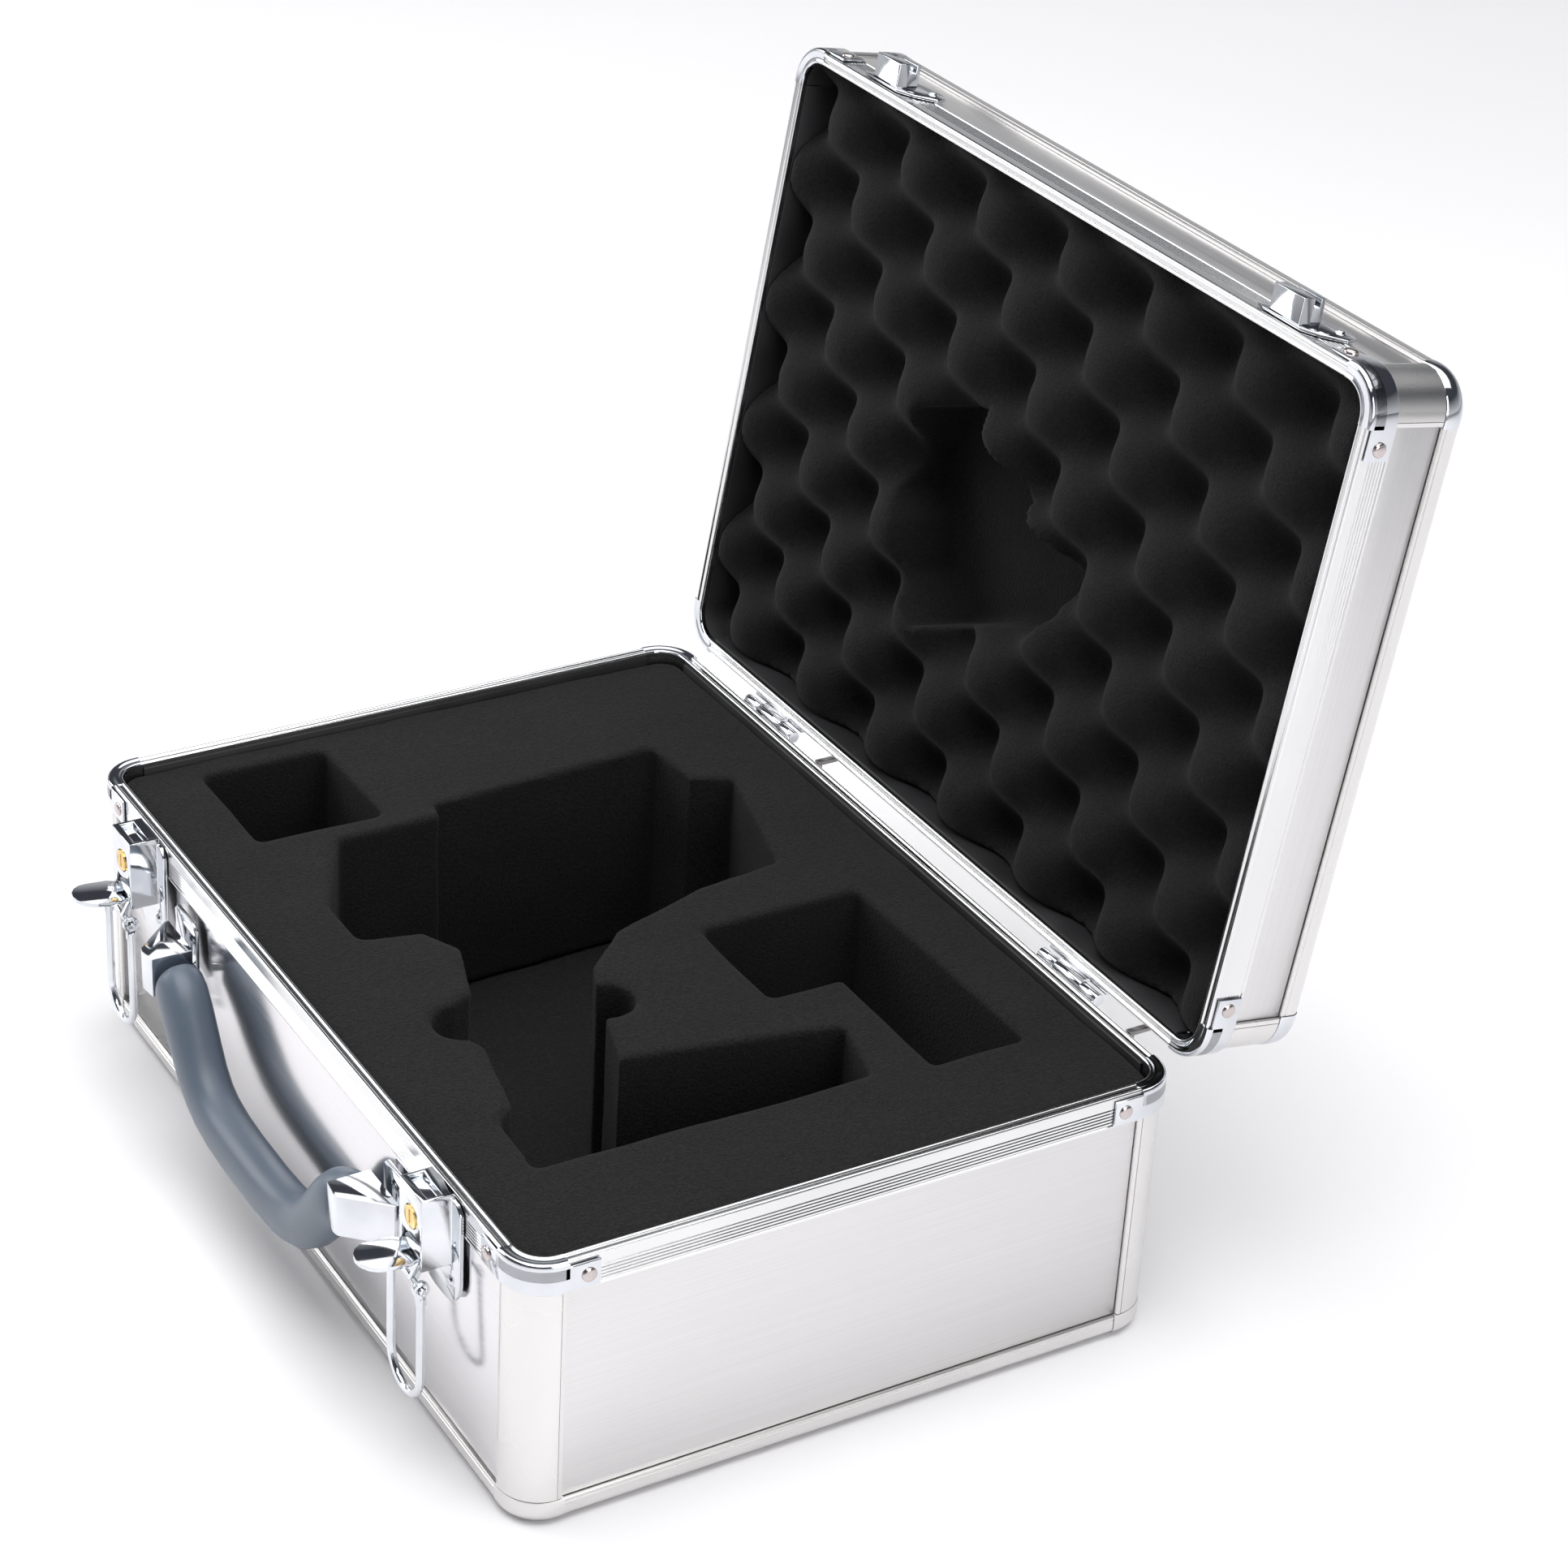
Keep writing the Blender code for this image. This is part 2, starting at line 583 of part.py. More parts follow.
# --- handle ---------------------------------------------------------------------------------------------
def handle_bracket():
    """A plate with two cheeks and the handle's pin, in a frame on the pivot axis, on the +X side."""
    face = HANDLE_REACH - GAP
    base = block((BRACKET_INNER - 2.0 * MM, face - 1.4 * MM, -12.0 * MM),
                 (BRACKET_OUTER + 1.0 * MM, face, 11.0 * MM))
    pieces = [base]
    eye = 3.6 * MM
    profile = ([(face - 0.5 * MM, 8.0 * MM)] + arc((0, 0), eye, 60, 300, 8)
               + [(face - 0.5 * MM, -8.0 * MM)])
    for x in (BRACKET_INNER, BRACKET_OUTER - BRACKET_CHEEK):
        pieces.append(moved(plate([profile], x, x + BRACKET_CHEEK), ACROSS))
    pieces.append(rod((BRACKET_INNER + 0.5 * MM, 0, 0), (BRACKET_OUTER - 0.5 * MM, 0, 0), 1.6 * MM,
                      sides=12))
    return joined(pieces)


def handle_arm():
    """The wedge that turns on the bracket's pin and carries one end of the grip, on the +X side."""
    start = BRACKET_INNER + BRACKET_CHEEK + GAP
    stop = BRACKET_OUTER - BRACKET_CHEEK - GAP
    outline = millimetres([(2.4, -2.8), (2.4, 2.8), (-2.0, 4.2), (-12.0, 3.4), (-12.0, -9.0),
                           (-10.0, -10.5), (1.0, -10.5)])
    wedge = moved(plate([outline], start, stop), ACROSS)
    nose = block((GRIP_END + GAP, -5.5 * MM, -9.8 * MM), (start + 2.0 * MM, 0.5 * MM, -5.2 * MM))
    bore = rod((start - 2.0 * MM, 0, 0), (stop + 2.0 * MM, 0, 0), 2.0 * MM, sides=12)
    return cut(joined([wedge, nose]), [bore])


def handle_grip():
    """The moulded grip, bowed downwards, with its ends turned up to the arms."""
    half_path = [(72.0, -3.0, -5.5, 8.2), (70.0, -3.0, -5.5, 8.8), (66.0, -3.2, -8.5, 9.0),
                 (59.0, -3.5, -15.5, 8.8), (52.5, -3.8, -23.5, 8.6), (45.0, -4.2, -31.0, 8.6),
                 (35.0, -4.5, -36.5, 8.6), (20.0, -4.7, -38.5, 8.6)]
    middle = (0.0, -4.8, -39.0, 8.6)
    left = [(-x, y, z, r) for x, y, z, r in half_path]
    stations = left + [middle] + half_path[::-1]
    points = [(x * MM, y * MM, z * MM) for x, y, z, r in stations]
    return tube(points, [r * MM for x, y, z, r in stations], 4)


def handle():
    axis = Vector((0, FRONT - HANDLE_REACH, BASE_HEIGHT - HANDLE_DROP))
    swing = pivot("handle_axis", axis)
    flip = Matrix.Diagonal((-1, 1, 1, 1))
    for side in ("left", "right"):
        bracket = handle_bracket()
        arm = handle_arm()
        if side == "left":
            for mesh in (bracket, arm):
                mesh.transform(flip)
                mesh.flip_normals()
        add(f"handle_bracket_{side}", bracket, CHROME, None, Matrix.Translation(axis))
        add(f"handle_arm_{side}", arm, CHROME, swing)
    add("handle_grip", handle_grip(), GREY_PLASTIC, swing)


# --- the case -----------------------------------------------------------------------------------
for old in list(bpy.data.objects):
    bpy.data.objects.remove(old)
CASE = bpy.data.collections.new("instrument_case")
bpy.context.scene.collection.children.link(CASE)

BRUSHED = material("brushed_aluminium", (0.66, 0.65, 0.65), 0.38, 1.0)
SATIN = material("satin_aluminium", (0.80, 0.79, 0.78), 0.30, 1.0)
CHROME = material("chrome_plate", (0.78, 0.79, 0.81), 0.08, 1.0)
STEEL = material("dark_steel", (0.22, 0.21, 0.21), 0.35, 1.0)
BRASS = material("brass", (0.62, 0.44, 0.18), 0.25, 1.0)
FOAM = material("black_foam", (0.016, 0.014, 0.014), 0.95, 0.0)
GREY_PLASTIC = material("blue_grey_plastic", (0.33, 0.39, 0.46), 0.42, 0.0)

OPENED = Matrix.Rotation(-LID_ANGLE, 4, "X")
LID = pivot("lid_axis", AXIS, OPENED)
LID_FROM_OWN = (Matrix.Translation(-AXIS)
                @ Matrix.Translation((0, 0, BASE_HEIGHT + RIM_GAP + LID_HEIGHT))
                @ Matrix.Rotation(math.pi, 4, "X"))

shell_half("base", BASE_HEIGHT, ("front", "right", "back", "left"),
           ("front_left", "front_right", "back_right", "back_left"), None, Matrix.Identity(4))
shell_half("lid", LID_HEIGHT, ("back", "right", "front", "left"),
           ("back_left", "back_right", "front_right", "front_left"), LID, LID_FROM_OWN)
foams(LID, LID_FROM_OWN)
hinges(LID)
latches(LID)
handle()
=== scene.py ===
import math

import bmesh
import bpy
from mathutils import Matrix, Vector, noise


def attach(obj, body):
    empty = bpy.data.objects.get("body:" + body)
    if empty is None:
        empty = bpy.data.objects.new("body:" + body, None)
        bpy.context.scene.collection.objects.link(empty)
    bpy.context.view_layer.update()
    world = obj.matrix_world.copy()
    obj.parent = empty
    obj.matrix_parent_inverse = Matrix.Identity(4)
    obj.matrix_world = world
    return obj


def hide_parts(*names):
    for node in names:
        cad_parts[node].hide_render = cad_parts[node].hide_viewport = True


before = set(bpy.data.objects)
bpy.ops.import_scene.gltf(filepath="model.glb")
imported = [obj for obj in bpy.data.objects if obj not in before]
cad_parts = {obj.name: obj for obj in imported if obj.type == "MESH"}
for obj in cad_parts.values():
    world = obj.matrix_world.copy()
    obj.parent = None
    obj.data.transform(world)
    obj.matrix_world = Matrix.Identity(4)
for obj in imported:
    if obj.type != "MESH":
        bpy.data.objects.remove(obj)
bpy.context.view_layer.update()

MM = 0.001
WIDTH, DEPTH = 340.0 * MM, 238.5 * MM
BASE_HEIGHT, LID_HEIGHT = 99.5 * MM, 39.5 * MM
RIM_GAP = 0.4 * MM
LID_ANGLE = math.radians(99.0)
FRONT, BACK = -DEPTH / 2, DEPTH / 2
CORNER_RADIUS = 14.0 * MM
POST_WIDTH = 15.4 * MM
BALL_LENGTH = 16.0 * MM
CLIP_LENGTH = 15.3 * MM
TAB_END = 25.8 * MM
RIVET_PLACE = 21.8 * MM
RIVET_DROP = 6.3 * MM
RIVET_RADIUS, RIVET_RISE = 2.5 * MM, 0.85 * MM
CLIP_PROUD = 1.1 * MM
PANEL_SEAT = 5.3 * MM
PANEL_RADIUS = 8.7 * MM
FOAM_TOP = 95.5 * MM
PAD_TOP = 13.7 * MM
CRATE_PITCH = 50.0 * MM
CRATE_LOW, CRATE_RISE, CRATE_SHARPNESS = 1.0 * MM, 19.0 * MM, 1.45
CRATE_PHASE = (140.0 * MM, 72.0 * MM)
AXIS = Vector((0.0, BACK + 3.3 * MM, BASE_HEIGHT - 1.4 * MM))
HANDLE_AXIS = Vector((0, FRONT - 8.0 * MM, BASE_HEIGHT - 27.0 * MM))
GRIP_ROUNDNESS = 0.9
CAMERA_AZIMUTH, CAMERA_ELEVATION, CAMERA_ROLL = (math.radians(a) for a in (58.1401, 29.2748, 3.3415))
CAMERA_PLACE = (0.9731, -0.5377, 0.7767)
CAMERA_LENS = 87.02

SHUT_TO_OPEN = (Matrix.Translation(AXIS) @ Matrix.Rotation(-LID_ANGLE, 4, "X")
                @ Matrix.Translation(-AXIS))
LID_OWN = (SHUT_TO_OPEN @ Matrix.Translation((0, 0, BASE_HEIGHT + RIM_GAP + LID_HEIGHT))
           @ Matrix.Rotation(math.pi, 4, "X"))
WORLD = Matrix.Identity(4)
ACROSS = Matrix(((0, 0, 1, 0), (1, 0, 0, 0), (0, 1, 0, 0), (0, 0, 0, 1)))


# --- shading -------------------------------------------------------------------------------
def shader_nodes(name):
    made = bpy.data.materials.new(name)
    made.use_nodes = True
    return made, made.node_tree, made.node_tree.nodes["Principled BSDF"]


def noise_node(tree, scale, detail, stretch=(1, 1, 1)):
    place = tree.nodes.new("ShaderNodeTexCoord")
    mapping = tree.nodes.new("ShaderNodeMapping")
    mapping.inputs["Scale"].default_value = stretch
    tree.links.new(place.outputs["Object"], mapping.inputs["Vector"])
    grain = tree.nodes.new("ShaderNodeTexNoise")
    grain.inputs["Scale"].default_value = scale
    grain.inputs["Detail"].default_value = detail
    tree.links.new(mapping.outputs["Vector"], grain.inputs["Vector"])
    return grain.outputs["Fac"]


def span(tree, value, low, high, start=0.3, stop=0.7):
    ramp = tree.nodes.new("ShaderNodeMapRange")
    ramp.inputs["From Min"].default_value = start
    ramp.inputs["From Max"].default_value = stop
    ramp.inputs["To Min"].default_value = low
    ramp.inputs["To Max"].default_value = high
    tree.links.new(value, ramp.inputs["Value"])
    return ramp.outputs["Result"]


def mixed(tree, value, first, second):
    mix = tree.nodes.new("ShaderNodeMix")
    mix.data_type = "RGBA"
    mix.inputs["A"].default_value = (*first, 1)
    mix.inputs["B"].default_value = (*second, 1)
    tree.links.new(value, mix.inputs["Factor"])
    return mix.outputs["Result"]


def bump(tree, shader, value, strength, distance):
    node = tree.nodes.new("ShaderNodeBump")
    node.inputs["Strength"].default_value = strength
    node.inputs["Distance"].default_value = distance
    tree.links.new(value, node.inputs["Height"])
    tree.links.new(node.outputs["Normal"], shader.inputs["Normal"])


def brushed(name, dark, light, rough, anisotropy=0.5):
    """Aluminium sheet with a fine grain along its own X."""
    made, tree, shader = shader_nodes(name)
    grain = noise_node(tree, 3.0, 5.0, (4, 900, 900))
    broad = noise_node(tree, 9.0, 3.0)
    shader.inputs["Metallic"].default_value = 1.0
    shader.inputs["Anisotropic"].default_value = anisotropy
    tree.links.new(mixed(tree, span(tree, grain, 0, 1), dark, light), shader.inputs["Base Color"])
    both = tree.nodes.new("ShaderNodeMath")
    both.operation = "ADD"
    tree.links.new(span(tree, grain, rough[0], rough[1]), both.inputs[0])
    tree.links.new(span(tree, broad, -0.02, 0.03), both.inputs[1])
    tree.links.new(both.outputs["Value"], shader.inputs["Roughness"])
    bump(tree, shader, grain, 0.12, 0.00002)
    return made


def satin(name, dark, light, rough):
    """Anodised profile: even and silky, with a very fine tooth."""
    made, tree, shader = shader_nodes(name)
    fine = noise_node(tree, 2600.0, 2.0)
    broad = noise_node(tree, 14.0, 3.0)
    shader.inputs["Metallic"].default_value = 1.0
    tree.links.new(mixed(tree, span(tree, broad, 0, 1), dark, light), shader.inputs["Base Color"])
    tree.links.new(span(tree, broad, rough[0], rough[1]), shader.inputs["Roughness"])
    bump(tree, shader, fine, 0.12, 0.00003)
    return made


def polished(name, dark, light, rough, wave=0.0):
    """Plated metal with faint handling smudges."""
    made, tree, shader = shader_nodes(name)
    smudge = noise_node(tree, 55.0, 4.0)
    shader.inputs["Metallic"].default_value = 1.0
    tree.links.new(mixed(tree, span(tree, smudge, 0, 1), dark, light), shader.inputs["Base Color"])
    tree.links.new(span(tree, smudge, rough[0], rough[1]), shader.inputs["Roughness"])
    if wave:
        bump(tree, shader, noise_node(tree, 160.0, 1.0), wave, 0.0004)
    return made


def foam(name, dark, light, cell, strength):
    """Open-cell foam: matt, with small cell walls whose glints are painted into the colour as bright specks.
    """
    made, tree, shader = shader_nodes(name)
    cells = noise_node(tree, cell, 3.0)
    fine = noise_node(tree, cell * 2.3, 1.0)
    # Painted glints: sparse bright specks added to the colour where cell walls would catch the light.
    painted_glints = span(tree, fine, 0, 1, 0.60, 0.80)
    soft = noise_node(tree, 22.0, 3.0)
    tone = tree.nodes.new("ShaderNodeMath")
    tone.operation = "MULTIPLY_ADD"
    tree.links.new(span(tree, cells, 0.0, 0.7), tone.inputs[0])
    tree.links.new(span(tree, soft, 0.75, 1.0), tone.inputs[1])
    tree.links.new(painted_glints, tone.inputs[2])
    tree.links.new(mixed(tree, tone.outputs["Value"], dark, light), shader.inputs["Base Color"])
    shader.inputs["Roughness"].default_value = 0.9
    shader.inputs["Sheen Weight"].default_value = 0.03
    shader.inputs["Specular IOR Level"].default_value = 0.25
    bump(tree, shader, cells, strength, 0.0007)
    return made


def plastic(name, dark, light, rough):
    made, tree, shader = shader_nodes(name)
    broad = noise_node(tree, 30.0, 3.0)
    fine = noise_node(tree, 3200.0, 2.0)
    tree.links.new(mixed(tree, span(tree, broad, 0, 1), dark, light), shader.inputs["Base Color"])
    tree.links.new(span(tree, broad, rough[0], rough[1]), shader.inputs["Roughness"])
    bump(tree, shader, fine, 0.10, 0.00005)
    return made


# --- mesh helpers ------------------------------------------------------------------------------
def arc(centre, radius, start, stop, steps):
    angles = [math.radians(start + (stop - start) * i / steps) for i in range(steps + 1)]
    return [(centre[0] + radius * math.cos(a), centre[1] + radius * math.sin(a)) for a in angles]


def from_bmesh(cage):
    mesh = bpy.data.meshes.new("mesh")
    bmesh.ops.recalc_face_normals(cage, faces=cage.faces)
    cage.to_mesh(mesh)
    cage.free()
    return mesh


def loft(rings):
    """Skins a list of closed rings of points and caps both ends."""
    cage = bmesh.new()
    rows = [[cage.verts.new(p) for p in ring] for ring in rings]
    count = len(rows[0])
    for low, high in zip(rows, rows[1:]):
        for i in range(count):
            j = (i + 1) % count
            cage.faces.new((low[i], low[j], high[j], high[i]))
    cage.faces.new(rows[0][::-1])
    cage.faces.new(rows[-1])
    return from_bmesh(cage)


def sweep(profile, stations):
    """A profile of (inset, z) carried along stations of (point on the outer face, inward normal)."""
    return loft([[(p[0] + n[0] * o, p[1] + n[1] * o, z) for o, z in profile] for p, n in stations])


def straight(half):
    return [((-half, 0), (0, 1)), ((half, 0), (0, 1))]


def round_corner(length, steps=10):
    """Stations round a corner whose two outer faces are x = 0 and y = 0."""
    centre = (CORNER_RADIUS, CORNER_RADIUS)
    stations = [((length, 0.0), (0.0, 1.0))]
    for i in range(steps + 1):
        a = math.radians(270 - 90 * i / steps)
        out = (math.cos(a), math.sin(a))
        point = (centre[0] + CORNER_RADIUS * out[0], centre[1] + CORNER_RADIUS * out[1])
        stations.append((point, (-out[0], -out[1])))
    return stations + [((0.0, length), (1.0, 0.0))]


def prism(outline, low, high, lie=None):
    """An outline of (x, y) points given height in z."""
    mesh = loft([[(x, y, low) for x, y in outline], [(x, y, high) for x, y in outline]])
    if lie:
        mesh.transform(lie)
    return mesh


def lathe(profile, sides=28):
    """A profile of (radius, height) turned about Z."""
    rings = [[(r * math.cos(2 * math.pi * i / sides), r * math.sin(2 * math.pi * i / sides), z)
              for i in range(sides)] for r, z in profile]
    return loft(rings)


def tube(points, radii, sides=14):
    """A round wire through points, with flat ends."""
    rings = []
    places = [Vector(p) for p in points]
    across = None
    for i, place in enumerate(places):
        ahead = places[min(i + 1, len(places) - 1)] - places[max(i - 1, 0)]
        ahead.normalize()
        if across is None:
            across = ahead.orthogonal().normalized()
        across = (across - ahead * across.dot(ahead)).normalized()
        up = ahead.cross(across)
        rings.append([place + (across * math.cos(t) + up * math.sin(t)) * radii[i]
                      for t in [2 * math.pi * k / sides for k in range(sides)]])
    return loft(rings)


def in_scene(name, mesh):
    made = bpy.data.objects.new(name, mesh)
    bpy.context.scene.collection.objects.link(made)
    return made


def baked(holder):
    """The mesh of a helper object with its modifiers applied. The helper is removed."""
    graph = bpy.context.evaluated_depsgraph_get()
    made = bpy.data.meshes.new_from_object(holder.evaluated_get(graph))
    bpy.data.objects.remove(holder)
    return made


def softened(mesh, width, segments=2, angle=30):
    """Rounds the sharp edges of a closed mesh."""
    holder = in_scene("soften", mesh)
    step = holder.modifiers.new("soften", "BEVEL")
    step.width = width
    step.segments = segments
    step.angle_limit = math.radians(angle)
    step.limit_method = "ANGLE"
    step.harden_normals = False
    return baked(holder)


def boolean(mesh, tool, operation="DIFFERENCE"):
    body = in_scene("body", mesh)
    cutter = in_scene("cutter", tool)
    step = body.modifiers.new("step", "BOOLEAN")
    step.operation = operation
    step.solver = "EXACT"
    step.object = cutter
    made = baked(body)
    bpy.data.objects.remove(cutter)
    return made


def carried(node, width=0.25 * MM):
    """The shape of a CAD node with its edges softened."""
    cage = bmesh.new()
    cage.from_mesh(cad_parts[node].data)
    bmesh.ops.remove_doubles(cage, verts=cage.verts, dist=2e-6)
    bmesh.ops.dissolve_limit(cage, angle_limit=math.radians(1.0), verts=cage.verts, edges=cage.edges)
    return softened(from_bmesh(cage), width)


def placed(mesh, sign):
    """The mesh itself, or its mirror image in X where sign is -1."""
    if sign < 0:
        mesh.transform(Matrix.Diagonal((-1, 1, 1, 1)))
        mesh.flip_normals()
    return mesh


def put(name, mesh, finish, body, place=WORLD, nodes=(), sharp=40):
    """Adds a visible piece to a body, in place of the CAD nodes that it stands for."""
    mesh.name = name
    mesh.materials.clear()
    mesh.materials.append(finish)
    mesh.shade_smooth()
    mesh.set_sharp_from_angle(angle=math.radians(sharp))
    made = in_scene(name, mesh)
    made.matrix_world = place
    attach(made, body)
    if nodes:
        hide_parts(*nodes)
    return made


# --- finishes --------------------------------------------------------------------------------
BRUSHED = brushed("brushed_sheet", (0.66, 0.65, 0.65), (0.72, 0.71, 0.71), (0.32, 0.42))
END_SHEET = brushed("brushed_end_sheet", (0.66, 0.65, 0.65), (0.72, 0.71, 0.71), (0.34, 0.44), 0.0)
# The front sheet's copy of the brushed sheet is glossier, and its colour is a little lighter and cooler:
# painted light on the base's front face.
GLOSSY_PAINTED_LIGHT_SHEET = brushed("brushed_front_sheet_painted_light", (0.68, 0.67, 0.68), (0.74, 0.73, 0.74), (0.12, 0.20))
SATIN = satin("satin_profile", (0.70, 0.69, 0.68), (0.77, 0.76, 0.75), (0.24, 0.32))
BRIGHT = satin("bright_profile", (0.72, 0.72, 0.72), (0.80, 0.80, 0.80), (0.14, 0.22))
CHROME = polished("chrome_plate", (0.62, 0.64, 0.67), (0.74, 0.76, 0.79), (0.05, 0.11), 0.02)
RIVET = polished("rivet_metal", (0.52, 0.46, 0.45), (0.66, 0.60, 0.58), (0.14, 0.24))
STEEL = satin("dark_steel_bar", (0.20, 0.19, 0.19), (0.32, 0.31, 0.31), (0.28, 0.40))
BRASS = polished("brass_plug", (0.66, 0.44, 0.15), (0.83, 0.60, 0.26), (0.14, 0.28))
BLACK_FOAM = foam("black_cut_foam", (0.0025, 0.0023, 0.0023), (0.017, 0.0155, 0.015), 1000.0, 0.9)
CRATE_FOAM = foam("black_crate_foam", (0.0022, 0.0020, 0.0020), (0.0135, 0.0122, 0.012), 1100.0, 0.7)
LINING = plastic("black_lining", (0.012, 0.012, 0.013), (0.024, 0.024, 0.026), (0.42, 0.58))
# The grip's blue-grey is darker than the same plastic in the seam because it was matched to a spot in shade:
# painted shade over the whole grip.
GRIP_WITH_PAINTED_SHADE = plastic("blue_grey_grip_painted_shade", (0.095, 0.122, 0.16), (0.11, 0.138, 0.178), (0.34, 0.44))
SEAM = plastic("grip_seam", (0.36, 0.42, 0.48), (0.40, 0.46, 0.52), (0.35, 0.45))


# --- shell ----------------------------------------------------------------------------------------
def side_frame(index):
    """A side's own frame: its outer face is y = 0, and +Y points into the case."""
    distance = (DEPTH if index % 2 == 0 else WIDTH) / 2
    return Matrix.Rotation(math.radians(90 * index), 4, "Z") @ Matrix.Translation((0, -distance, 0))


def corner_frame(index):
    """A corner's own frame: its two outer faces are x = 0 and y = 0."""
    sx, sy = ((-1, -1), (1, -1), (1, 1), (-1, 1))[index]
    return (Matrix.Translation((sx * WIDTH / 2, sy * DEPTH / 2, 0))
            @ Matrix.Rotation(math.radians(90 * index), 4, "Z"))


def mm(points):
    return [(a * MM, b * MM) for a, b in points]


def rim_profile(height):
    """The rim rail in section: a bead, five ribs, and a lip with a groove in its top."""
    points = [(1.0, -12.0), (0.1, -12.0), (-0.15, -11.85), (-0.22, -11.5), (-0.15, -11.15), (0.1, -11.0)]
    for k in range(5):
        foot = -10.8 + 1.2 * k
        points += [(0.34, foot), (0.04, foot + 0.22), (0.0, foot + 0.55), (0.04, foot + 0.88)]
    points += [(0.34, -4.75), (0.0, -4.5), (0.0, -0.9)]
    points += arc((0.85, -0.85), 0.85, 180, 20, 8)
    points += [(1.75, -0.62), (2.95, -0.62)]
    points += arc((3.78, -0.82), 0.82, 160, 0, 8)
    points += [(4.6, -2.2), (1.0, -2.2)]
    return [(o * MM, height + z * MM) for o, z in points]


def edge_profile():
    top = 8.62
    points = [(5.0, 0.0), (4.4, 0.0)] + arc((4.4, 4.4), 4.4, 262, 180, 9)
    points += [(0.0, 6.9), (0.22, 7.05), (0.22, 7.2), (0.0, 7.35), (0.0, top - 0.35), (0.3, top), (5.0, top)]
    return [(o * MM, max(z, 0.0) * MM) for o, z in points]


def ball_profile():
    """The ball corner in section. It stands a little proud of the edge rail."""
    points = [(4.8, 0.1)] + arc((4.6, 4.6), 4.95, 265, 180, 10) + [(-0.35, 8.0), (-0.1, 8.6), (0.6, 8.85)]
    return [(o * MM, max(z, 0.0) * MM) for o, z in points + [(4.8, 8.85)]]


def post_profile():
    """The outline of a corner post, with a fine groove by each of its edges."""
    centre = (CORNER_RADIUS, CORNER_RADIUS)
    end, groove, deep, inner = POST_WIDTH, 13.4 * MM, 0.3 * MM, 4.2 * MM
    face = [(end, 0.5 * MM), (end - 0.25 * MM, 0.1 * MM), (groove + 0.35 * MM, 0.0),
            (groove + 0.1 * MM, deep), (groove - 0.25 * MM, deep)]
    curve = arc(centre, CORNER_RADIUS, 268, 182, 14)
    mirror = [(y, x) for x, y in face[::-1]]
    back = [(inner, end)] + arc(centre, CORNER_RADIUS - inner, 180, 270, 6) + [(end, inner)]
    return face + curve + mirror + back


def clip_side_profile(height, top):
    bottom = height - 11.0 * MM
    return [(-0.3 * MM, bottom), (-0.9 * MM, bottom), (-CLIP_PROUD, bottom + 0.25 * MM),
            (-CLIP_PROUD, top - 0.35 * MM), (-0.85 * MM, top), (-0.3 * MM, top)]


def clip_top_profile(height):
    points = [(-0.3, -6.0), (-1.1, -6.0), (-1.1, -1.5)] + arc((0.2, -1.25), 1.3, 180, 75, 7)
    points += [(1.5, -0.1), (1.9, -0.3), (3.0, -0.3)]
    points += arc((3.9, -0.8), 0.85, 120, 0, 7) + [(4.7, -2.2), (-0.3, -2.2)]
    return [(o * MM, height + z * MM) for o, z in points]


def dome(radius, rise):
    """A rivet head with a small flat at its top."""
    profile = [(radius, 0.0), (radius, 0.25 * MM)]
    for k in range(1, 7):
        a = math.radians(15 * k)
        profile.append((radius * (0.12 + 0.88 * math.cos(a)), 0.25 * MM + rise * math.sin(a)))
    return lathe(profile, 24)


def on_face(x, y, z):
    """Stands a piece drawn along +Z so that it points to -Y at (x, y, z)."""
    return Matrix.Translation((x, y, z)) @ Matrix.Rotation(math.radians(90), 4, "X")


def case_outline(half_x, half_y, radius, steps):
    points = []
    for quarter, (sx, sy) in enumerate(((1, 1), (-1, 1), (-1, -1), (1, -1))):
        centre = (sx * (half_x - radius), sy * (half_y - radius))
        points += arc(centre, radius, 90 * quarter, 90 * quarter + 90, steps)
    return points


def end_sheet(prefix, place):
    end = "bottom" if prefix == "base" else "top"
    outline = case_outline(WIDTH / 2 - PANEL_SEAT, DEPTH / 2 - PANEL_SEAT, PANEL_RADIUS, 5)
    put(f"{prefix}_{end}_sheet", softened(prism(outline, 0.4 * MM, 4.0 * MM), 0.3 * MM), END_SHEET, prefix,
        place, [f"{prefix}_{end}_panel"])


def bar(half, near, far, low, high):
    """A flat strip along a side, between two depths behind its outer face."""
    return prism([(-half, near), (half, near), (half, far), (-half, far)], low, high)


def shell_side(prefix, side, index, height, place):
    """One side's sheet, rim rail, edge rail and lining."""
    length = WIDTH if index % 2 == 0 else DEPTH
    own = place @ side_frame(index)
    half = length / 2 - POST_WIDTH - 0.15 * MM
    sheet = softened(bar(half, 1.2 * MM, 4.2 * MM, 8.9 * MM, height - 11.6 * MM), 0.35 * MM)
    rim = sweep(rim_profile(height), straight(length / 2 - CLIP_LENGTH - 0.1 * MM))
    edge = sweep(edge_profile(), straight(length / 2 - BALL_LENGTH - 0.1 * MM))
    lining = softened(bar(half, 4.45 * MM, 5.1 * MM, 9.0 * MM, height - 2.35 * MM), 0.15 * MM)
    # The base's front sheet takes the copy whose lighter colour is painted light.
    finish = GLOSSY_PAINTED_LIGHT_SHEET if (prefix, side) == ("base", "front") else BRUSHED
    put(f"{prefix}_{side}_sheet", sheet, finish, prefix, own, [f"{prefix}_{side}_panel"])
    put(f"{prefix}_{side}_rim_rail", rim, BRIGHT, prefix, own, [f"{prefix}_rim_{side}"],
        28)
    put(f"{prefix}_{side}_edge_rail", edge, SATIN, prefix, own,
        [f"{prefix}_edge_frame"] if index == 0 else (), 28)
    put(f"{prefix}_{side}_lining", lining, LINING, prefix, own, ())


